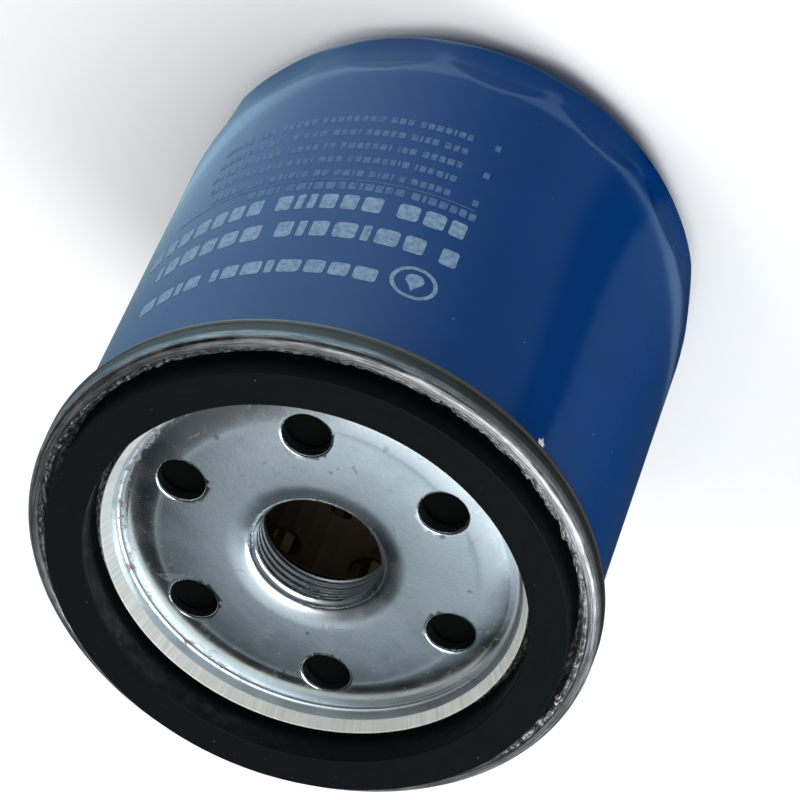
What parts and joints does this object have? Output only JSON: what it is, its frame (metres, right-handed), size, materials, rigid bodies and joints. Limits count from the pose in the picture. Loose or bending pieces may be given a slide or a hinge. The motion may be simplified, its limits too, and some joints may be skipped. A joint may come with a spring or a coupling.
{
  "type": "spin-on oil filter",
  "caption": "Blue steel canister filter with a rolled seam, square rubber gasket, threaded centre neck, ring of inlet holes and wrench flats on its closed end",
  "frame": {"origin": "centre of the closed end, on the filter's axis, at the plane it stands on", "axes": "+Z along the filter's axis from the closed end to the gasket; -Y toward the side seen in the picture"},
  "size_m": [0.08, 0.08, 0.082],
  "materials": {
    "blue_paint": "gloss",
    "bare_steel": "rolled",
    "zinc_plate": "bright zinc",
    "black_rubber": "moulded",
    "compound": "cured",
    "adhesive": "cured",
    "filter_paper": "resin-treated",
    "spring_steel": "oiled"
  },
  "bodies": {
    "housing": {"can": "blue_paint", "seaming_lid": "bare_steel", "base_plate": "zinc_plate", "sealing_gasket": "black_rubber", "seam_compound": "compound", "drainback_valve": "black_rubber", "valve_ring": "bare_steel", "spring_plate": "bare_steel", "element_spring": "spring_steel"},
    "element": {"end_cap_top": "bare_steel", "potting_top": "adhesive", "pleated_media": "filter_paper", "media_clip": "bare_steel", "potting_bottom": "adhesive", "end_cap_bottom": "bare_steel", "centre_tube": "bare_steel", "bypass_seat": "bare_steel", "bypass_cage": "bare_steel", "bypass_spring": "spring_steel", "spring_cup": "bare_steel"},
    "bypass_valve": {"bypass_disc": "bare_steel", "bypass_seal": "black_rubber", "bypass_stem": "bare_steel", "stem_clip": "spring_steel"}
  },
  "joints": [
    {"name": "element_float", "type": "slide", "parent": "housing", "child": "element", "axis": [0, 0, -1], "range_m": [0, 0.002], "stiffness_N_per_m": 8000, "springref_m": -0.005, "deforming": ["element_spring"]},
    {"name": "bypass_lift", "type": "slide", "parent": "element", "child": "bypass_valve", "axis": [0, 0, 1], "range_m": [0, 0.003], "stiffness_N_per_m": 3000, "springref_m": -0.004, "deforming": ["bypass_spring"]}
  ]
}
